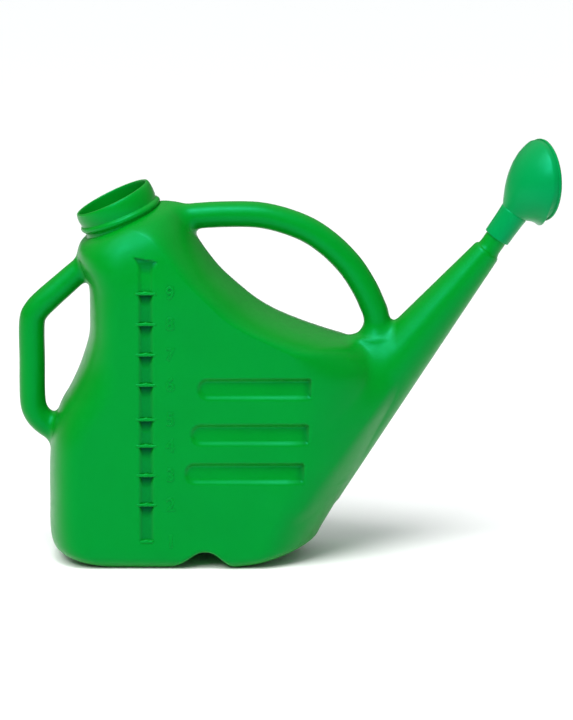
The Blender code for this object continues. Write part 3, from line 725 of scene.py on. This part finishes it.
def turned_points(profile, centre, axis, sides):
    """Surface of revolution: profile (radius, height) carried round an axis.

    Each point is centre + height * axis + radius * (cos a * side + sin a * other).
    """
    profile = np.asarray(profile, float)
    side = np.cross(axis, (0.0, 1.0, 0.0))
    side = side / np.linalg.norm(side)
    other = np.cross(axis, side)
    angle = np.linspace(0.0, math.tau, sides, endpoint=False)[None, :, None]
    ring = np.cos(angle) * side + np.sin(angle) * other
    return centre + profile[:, None, 1:2] * axis + profile[:, None, 0:1] * ring


def grid_faces(rows, columns, closed_rows=False):
    """Faces of a grid that wraps round its columns, and round its rows when asked."""
    last = rows if closed_rows else rows - 1
    i, j = np.meshgrid(np.arange(last), np.arange(columns), indexing="ij")
    below, right = (i + 1) % rows, (j + 1) % columns
    return np.stack((i * columns + j, i * columns + right, below * columns + right,
                     below * columns + j), axis=-1).reshape(-1, 4)


def rounded_profile(profile):
    """Closed profile with its corners eased: each corner cut twice at a quarter of its sides."""
    line = np.asarray(profile, float)
    for _ in range(2):
        after = np.roll(line, -1, axis=0)
        line = np.stack((0.75 * line + 0.25 * after, 0.25 * line + 0.75 * after),
                        axis=1).reshape(-1, 2)
    return line


class CAN_OT_skin(bpy.types.Operator):
    """Build the can's outer skin and its lining"""
    bl_idname = "watering_can.skin"
    bl_label = "Can skin and lining"

    def execute(self, context):
        sizes = context.scene.can_sizes
        material = blow_moulded_hdpe(context.scene.can_finishes)
        maps = SideMaps(sizes.half_width / MM)
        wall = sizes.wall / MM

        def outer(x, y, z):
            return can_field(x, y, z, maps.look_up(x, z, sizes), sizes)

        def inner(x, y, z):
            return outer(x, y, z) + wall

        axes = grid_axes(sizes.skin_step / MM, GAUGE_BAND)
        points, faces = skin_of(sample(maps, sizes, axes, 0.0), axes)
        points, normals = settle(points, outer, 2)
        faces = clear_of_bore(points, faces, SKIN_BORE)
        points = np.clip(points, np.array(CAD_LOW) / MM, np.array(CAD_HIGH) / MM)
        middle = points[faces].mean(axis=1)
        is_spout = middle[:, 0] > SPLIT_X
        is_low = ~is_spout & (middle[:, 2] < SPLIT_Z)
        for name, wanted, nodes in (
                ("can_lower_tank", is_low, ("tank_base", "tank_body")),
                ("can_upper_tank_and_grips", ~is_low & ~is_spout,
                 ("tank_shoulder", "rear_handle")),
                ("can_spout", is_spout, ("spout_root", "spout", "carry_handle"))):
            own_points, own_faces, used = compact(points, faces[wanted])
            skin = make_piece(name, own_points, own_faces, material, "can")
            skin.data.normals_split_custom_set_from_vertices(normals[used].tolist())
            # The painted shade of the gauge and the flutes, stored as a point attribute for the
            # material.
            shade = skin.data.attributes.new("painted_shade", "FLOAT", "POINT")
            shade.data.foreach_set("value", painted_recess_shade(*own_points.T).astype(np.float32))
            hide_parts(*nodes)

        axes = grid_axes(sizes.lining_step / MM)
        points, faces = skin_of(sample(maps, sizes, axes, wall), axes)
        points, _ = settle(points, inner, 2)
        faces = clear_of_bore(points, faces, LINING_BORE)
        points, faces, _ = compact(points, faces)
        lining = make_piece("can_lining", points, faces[:, ::-1], material, "can")
        return {"FINISHED"}


class CAN_OT_gauge(bpy.types.Operator):
    """Build the gauge's ledges and raised numbers"""
    bl_idname = "watering_can.gauge"
    bl_label = "Gauge ledges and numbers"

    def execute(self, context):
        material = blow_moulded_hdpe(context.scene.can_finishes)
        face = -context.scene.can_sizes.half_width / MM
        points, faces = [], []
        # Each ledge is a bar with a nearly square section, swept from side to side over the
        # channel. Its ends round off, and its upper edge rises to a small tongue in the middle.
        t = np.linspace(-1.0, 1.0, 41)
        angle = np.linspace(0.0, math.tau, 20, endpoint=False)
        rise = np.sign(np.sin(angle)) * np.abs(np.sin(angle)) ** 0.5
        out = np.sign(np.cos(angle)) * np.abs(np.cos(angle)) ** 0.5
        for i, level in enumerate(GAUGE_LEDGES):
            reach = 7.0 if i == len(GAUGE_LEDGES) - 1 else 11.6
            fade = np.clip(1.0 - np.abs(t) ** 16, 0.0, None)[:, None] ** 0.5
            tongue = 0.8 * np.exp(-(reach * t / 2.0) ** 2)[:, None] * np.clip(rise, 0.0, None)
            y = face + 3.4 - (0.2 + 3.75 * fade) * out
            z = level + (0.1 + 1.5 * fade) * rise + tongue
            x = np.broadcast_to(GAUGE_X + reach * t[:, None], z.shape)
            faces.append(grid_faces(*z.shape) + i * z.size)
            points.append(np.stack((x, y, z), axis=-1))
        ledges = make_piece("gauge_ledges", np.concatenate(points), np.concatenate(faces)[:, ::-1],
                            material, "can")

        joined = bmesh.new()
        for i, level in enumerate(GAUGE_LEDGES):
            curve = bpy.data.curves.new("number", "FONT")
            curve.body = str(len(GAUGE_LEDGES) - i)
            curve.size = 0.0185
            curve.align_x = curve.align_y = "CENTER"
            curve.extrude = 0.0002
            curve.bevel_depth = 0.00045
            curve.bevel_resolution = 2
            curve.offset = -0.0001
            carrier = add_object("number", curve)
            mesh = shaped_mesh(carrier)
            bpy.data.objects.remove(carrier, do_unlink=True)
            mesh.transform(Matrix.Translation(Vector((NUMBER_X, face + 0.1, level)) * MM)
                           @ Matrix.Rotation(math.pi / 2, 4, "X"))
            joined.from_mesh(mesh)
            bpy.data.meshes.remove(mesh)
        mesh = bpy.data.meshes.new("gauge_numbers")
        joined.to_mesh(mesh)
        joined.free()
        mesh.materials.append(material)
        numbers = add_object("gauge_numbers", mesh)
        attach(numbers, "can")
        return {"FINISHED"}


class CAN_OT_neck(bpy.types.Operator):
    """Build the filling neck and the spout's spigot"""
    bl_idname = "watering_can.neck"
    bl_label = "Neck and spigot"

    def execute(self, context):
        material = blow_moulded_hdpe(context.scene.can_finishes)
        profile = ((37.2, 0.1), (38.8, -0.2), (39.6, -1.6), (40.2, -4.5), (40.4, -9.0), (39.9, -12.2),
                   (39.4, -13.6), (41.0, -14.4), (42.0, -16.2), (41.9, -18.2), (40.7, -19.8),
                   (39.6, -20.9), (39.3, -23.4), (39.9, -25.4), (41.6, -27.2), (43.0, -30.6),
                   (35.6, -30.6), (35.9, -26.0), (36.2, -14.0), (36.4, -3.0), (36.6, -0.8))
        line = rounded_profile(profile)
        points = turned_points(line, MOUTH, NECK_AXIS, 128)
        # The bead is a thread: it runs THREAD_DROP further from the mouth at the front than at
        # the rear, and the wall's top and foot stay where they are.
        depth = (MOUTH - points) @ NECK_AXIS
        ahead = (points - MOUTH) @ NECK_SIDE / 40.0
        middle = smooth_step(depth, 7.0, 15.0) * (1.0 - smooth_step(depth, 21.0, 30.0))
        drop = 0.5 * THREAD_DROP * (1.0 + ahead) * middle
        points = points - drop[..., None] * NECK_AXIS
        faces = grid_faces(len(line), 128, closed_rows=True)
        neck = make_piece("filling_neck", points, faces, material, "can")
        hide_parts("neck")

        profile = ((8.8, 38.0), (10.4, 38.0), (11.0, 37.2), (11.15, 24.0), (11.2, 10.0), (11.2, 4.0),
                   (11.8, 1.8), (12.6, -1.0), (12.0, -9.0), (8.6, -9.0), (8.6, 0.0), (8.7, 20.0))
        line = rounded_profile(profile)
        points = turned_points(line, SPOUT_TIP, SPIGOT_AXIS, 72)
        faces = grid_faces(len(line), 72, closed_rows=True)
        spigot = make_piece("spigot", points, faces, material, "can")
        return {"FINISHED"}


def rose_rings(radius, sleeve_radius, inset, along):
    """Rings of the rose's shell from its sleeve (0) to its rim (1).

    Each ring is a circle. Its centre slides from the sleeve's end to the rim's centre, its
    axis turns from the sleeve's to the face's, and its radius grows with a sine.
    """
    start = SPOUT_TIP + SPIGOT_AXIS * SLEEVE_TOP
    end = ROSE_CENTRE - ROSE_NORMAL * RIM_DEPTH
    lean = along ** 0.8
    whole = math.acos(float(np.dot(SPIGOT_AXIS, ROSE_NORMAL)))
    normal = (np.sin((1.0 - lean) * whole)[:, None] * SPIGOT_AXIS
              + np.sin(lean * whole)[:, None] * ROSE_NORMAL) / math.sin(whole)
    centre = start + (end - start) * along[:, None]
    size = sleeve_radius + (radius - sleeve_radius) * np.sin(along * math.pi / 2) ** 1.06 - inset
    hinge = np.cross(SPIGOT_AXIS, ROSE_NORMAL)
    hinge = hinge / np.linalg.norm(hinge)
    other = np.cross(normal, hinge)
    angle = np.linspace(0.0, math.tau, 112, endpoint=False)[None, :, None]
    ring = np.cos(angle) * hinge + np.sin(angle) * other[:, None, :]
    return centre[:, None, :] + size[:, None, None] * ring


class CAN_OT_rose(bpy.types.Operator):
    """Build the rose's shell and its perforated face"""
    bl_idname = "watering_can.rose"
    bl_label = "Rose"

    def execute(self, context):
        sizes = context.scene.rose_sizes
        material = injection_moulded_pp(context.scene.can_finishes)
        radius, sleeve = sizes.radius / MM, sizes.sleeve_radius / MM

        along = np.linspace(0.0, 1.0, 40)
        outer = rose_rings(radius, sleeve, 0.0, along)
        inner = rose_rings(radius, sleeve, ROSE_WALL, along[::-1])
        start = outer[0].mean(axis=0)
        # The sleeve widens towards the shell, from an eased edge at its mouth.
        back = np.array((SLEEVE_LENGTH, 30.4, 29.6, 26.0, 20.0, 14.0, 8.0, 4.0, 1.6, 0.5))
        girth = np.array((0.915, 0.935, 0.945, 0.95, 0.96, 0.97, 0.985, 1.0, 1.015, 1.02))
        sleeve_outer = (start - back[:, None, None] * SPIGOT_AXIS
                        + girth[:, None, None] * (outer[0] - start))
        front = np.array((3.0, 6.2))[:, None, None] * ROSE_NORMAL
        rim_outer = outer[-1] + front
        rim_inner = inner[0] + front[::-1]
        middle = inner[-1].mean(axis=0)
        bore = (inner[-1] - middle) * (SLEEVE_BORE / (sleeve - ROSE_WALL)) + middle
        sleeve_inner = bore - np.array((0.0, 15.0, SLEEVE_LENGTH))[:, None, None] * SPIGOT_AXIS
        rings = np.concatenate((sleeve_outer, outer, rim_outer, rim_inner, inner, sleeve_inner))
        faces = grid_faces(len(rings), rings.shape[1], closed_rows=True)
        shell = make_piece("rose_shell", rings, faces[:, ::-1], material, "rose_head")
        shell.data.set_sharp_from_angle(angle=math.radians(50.0))
        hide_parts("rose_head", "rose_socket")

        outside = sizes.face_radius / MM
        inside = radius + 0.25
        profile = ((0.0, 4.6), (8.0, 4.45), (16.0, 4.05), (24.0, 3.35), (32.0, 2.4), (36.8, 1.6),
                   (37.6, 1.9), (38.8, 2.1), (39.9, 1.9), (outside - 0.3, 1.3), (outside, 0.4),
                   (outside, -0.3), (outside - 0.15, -0.9), (outside - 0.5, -1.2), (inside, -1.2),
                   (inside, 0.35), (32.0, 1.0), (24.0, 1.9), (16.0, 2.6), (8.0, 3.05), (0.0, 3.2))
        points = turned_points(profile, ROSE_CENTRE, ROSE_NORMAL, 144)
        faces = grid_faces(len(profile), 144)
        face = make_piece("rose_face_plate", points, faces, material, "rose_face")
        weld(face)
        drill(face, spray_holes(sizes), sizes.hole_radius)
        face.data.set_sharp_from_angle(angle=math.radians(35.0))
        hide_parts("rose_face")
        return {"FINISHED"}


def weld(obj):
    """Merge points that share a place, and turn the faces outwards."""
    bm = bmesh.new()
    bm.from_mesh(obj.data)
    bmesh.ops.remove_doubles(bm, verts=bm.verts, dist=1e-6)
    bmesh.ops.dissolve_degenerate(bm, dist=1e-6, edges=bm.edges)
    bmesh.ops.recalc_face_normals(bm, faces=bm.faces)
    bm.to_mesh(obj.data)
    bm.free()


def spray_holes(sizes):
    """Centres of the holes, on even rings that each have six more holes than the last."""
    spots = [(0.0, 0.0)]
    for ring in range(1, sizes.hole_rings + 1):
        angle = np.arange(6 * ring) * math.tau / (6 * ring) + 0.3 * ring
        radius = HOLE_PITCH * ring
        spots.extend(zip(radius * np.cos(angle), radius * np.sin(angle)))
    return spots


def drill(obj, spots, radius):
    """Cut round holes through the face along its own axis."""
    turn = Vector((0.0, 0.0, 1.0)).rotation_difference(Vector(ROSE_NORMAL)).to_matrix().to_4x4()
    place = Matrix.Translation(Vector(ROSE_CENTRE) * MM) @ turn
    bm = bmesh.new()
    for x, y in spots:
        bmesh.ops.create_cone(bm, cap_ends=True, segments=10, radius1=radius, radius2=radius,
                              depth=0.009,
                              matrix=place @ Matrix.Translation((x * MM, y * MM, 0.003)))
    mesh = bpy.data.meshes.new("drill")
    bm.to_mesh(mesh)
    bm.free()
    cutter = add_object("drill", mesh)
    modifier = obj.modifiers.new("Holes", "BOOLEAN")
    modifier.operation = "DIFFERENCE"
    modifier.object = cutter
    modifier.solver = "EXACT"
    made = shaped_mesh(obj)
    obj.modifiers.clear()
    obj.data = made
    bpy.data.objects.remove(cutter, do_unlink=True)


def aim(obj, direction):
    """Turn a light or a camera to look along a direction."""
    obj.rotation_mode = "QUATERNION"
    obj.rotation_quaternion = direction.to_track_quat("-Z", "Y")


class CAN_OT_stage(bpy.types.Operator):
    """Build the white floor, the soft lights and the camera"""
    bl_idname = "watering_can.stage"
    bl_label = "Stage"

    def execute(self, context):
        finishes = context.scene.can_finishes
        mesh = bpy.data.meshes.new("floor")
        corners = [(x * FLOOR_REACH, y * FLOOR_REACH, 0.0) for x, y in
                   ((-1, -1), (1, -1), (1, 1), (-1, 1))]
        mesh.from_pydata(corners, [], [(0, 1, 2, 3)])
        floor = add_object("floor", mesh)
        # A matt white without any gloss, so that only the soft shadow shows on it.
        material, _, shader = new_material("matt_white_paper")
        shader.inputs["Base Color"].default_value = (*finishes.stage_white, 1.0)
        shader.inputs["Roughness"].default_value = 0.9
        mesh.materials.append(material)

        # The studio is dim at the horizon and bright overhead: SKY_DIM plus SKY_RISE times the
        # height of the direction above the horizon, to the power of SKY_BEND.
        world = bpy.data.worlds.new("white_studio")
        context.scene.world = world
        context.scene.view_settings.view_transform = "Standard"
        world.use_nodes = True
        tree = world.node_tree
        direction = add_node(tree, "ShaderNodeTexCoord").outputs["Generated"]
        height = add_node(tree, "ShaderNodeSeparateXYZ", links={"Vector": direction}).outputs["Z"]
        bent = reckon(tree, "POWER", reckon(tree, "MAXIMUM", height, 0.0), SKY_BEND)
        glow = reckon(tree, "MULTIPLY_ADD", bent, SKY_RISE, SKY_DIM)
        tree.nodes["Background"].inputs["Color"].default_value = SKY_TINT
        tree.links.new(glow, tree.nodes["Background"].inputs["Strength"])

        lamp = bpy.data.lights.new("window", "SUN")
        lamp.energy = SUN_POWER
        lamp.angle = SUN_SPREAD
        lamps = [(lamp, SUN_PLACE)]
        for name, place, size, power in SOFTBOXES:
            lamp = bpy.data.lights.new(name, "AREA")
            lamp.shape = "SQUARE"
            lamp.size = size
            lamp.energy = power
            lamps.append((lamp, place))
        for lamp, place in lamps:
            light = add_object(lamp.name, lamp)
            light.location = place
            aim(light, Vector(LIGHTS_AIM) - Vector(place))

        camera = bpy.data.cameras.new("camera")
        camera.lens = camera.sensor_width * CAMERA_DISTANCE / FRAME_HEIGHT
        camera.clip_end = 100.0
        eye = add_object("camera", camera)
        back = Vector((0.0, -math.cos(CAMERA_RISE), math.sin(CAMERA_RISE)))
        eye.location = Vector(CAMERA_AIM) + back * CAMERA_DISTANCE
        aim(eye, -back)
        context.scene.camera = eye
        return {"FINISHED"}


class CAN_PT_panel(bpy.types.Panel):
    """Sizes, finishes and build steps of the watering can"""
    bl_idname = "CAN_PT_panel"
    bl_label = "Watering Can"
    bl_space_type = "VIEW_3D"
    bl_region_type = "UI"
    bl_category = "Watering Can"

    def draw(self, context):
        layout = self.layout
        for name, _ in GROUPS:
            box = layout.box()
            group = getattr(context.scene, name)
            for key in group.__annotations__:
                box.prop(group, key)
        for operator in OPERATORS:
            layout.operator(operator.bl_idname)


GROUPS = (("can_sizes", CanSizes), ("rose_sizes", RoseSizes), ("can_finishes", Finishes))
OPERATORS = (CAN_OT_skin, CAN_OT_gauge, CAN_OT_neck, CAN_OT_rose, CAN_OT_stage)


def register():
    """Register the classes and hang the settings on the scene."""
    for key, group in GROUPS:
        bpy.utils.register_class(group)
        setattr(bpy.types.Scene, key, PointerProperty(type=group))
    for operator in OPERATORS:
        bpy.utils.register_class(operator)
    bpy.utils.register_class(CAN_PT_panel)


def unregister():
    """Undo register."""
    bpy.utils.unregister_class(CAN_PT_panel)
    for operator in reversed(OPERATORS):
        bpy.utils.unregister_class(operator)
    for key, group in reversed(GROUPS):
        delattr(bpy.types.Scene, key)
        bpy.utils.unregister_class(group)


def main():
    """Build every piece and the stage."""
    register()
    bpy.ops.watering_can.skin()
    bpy.ops.watering_can.gauge()
    bpy.ops.watering_can.neck()
    bpy.ops.watering_can.rose()
    bpy.ops.watering_can.stage()


if __name__ == "__main__":
    main()
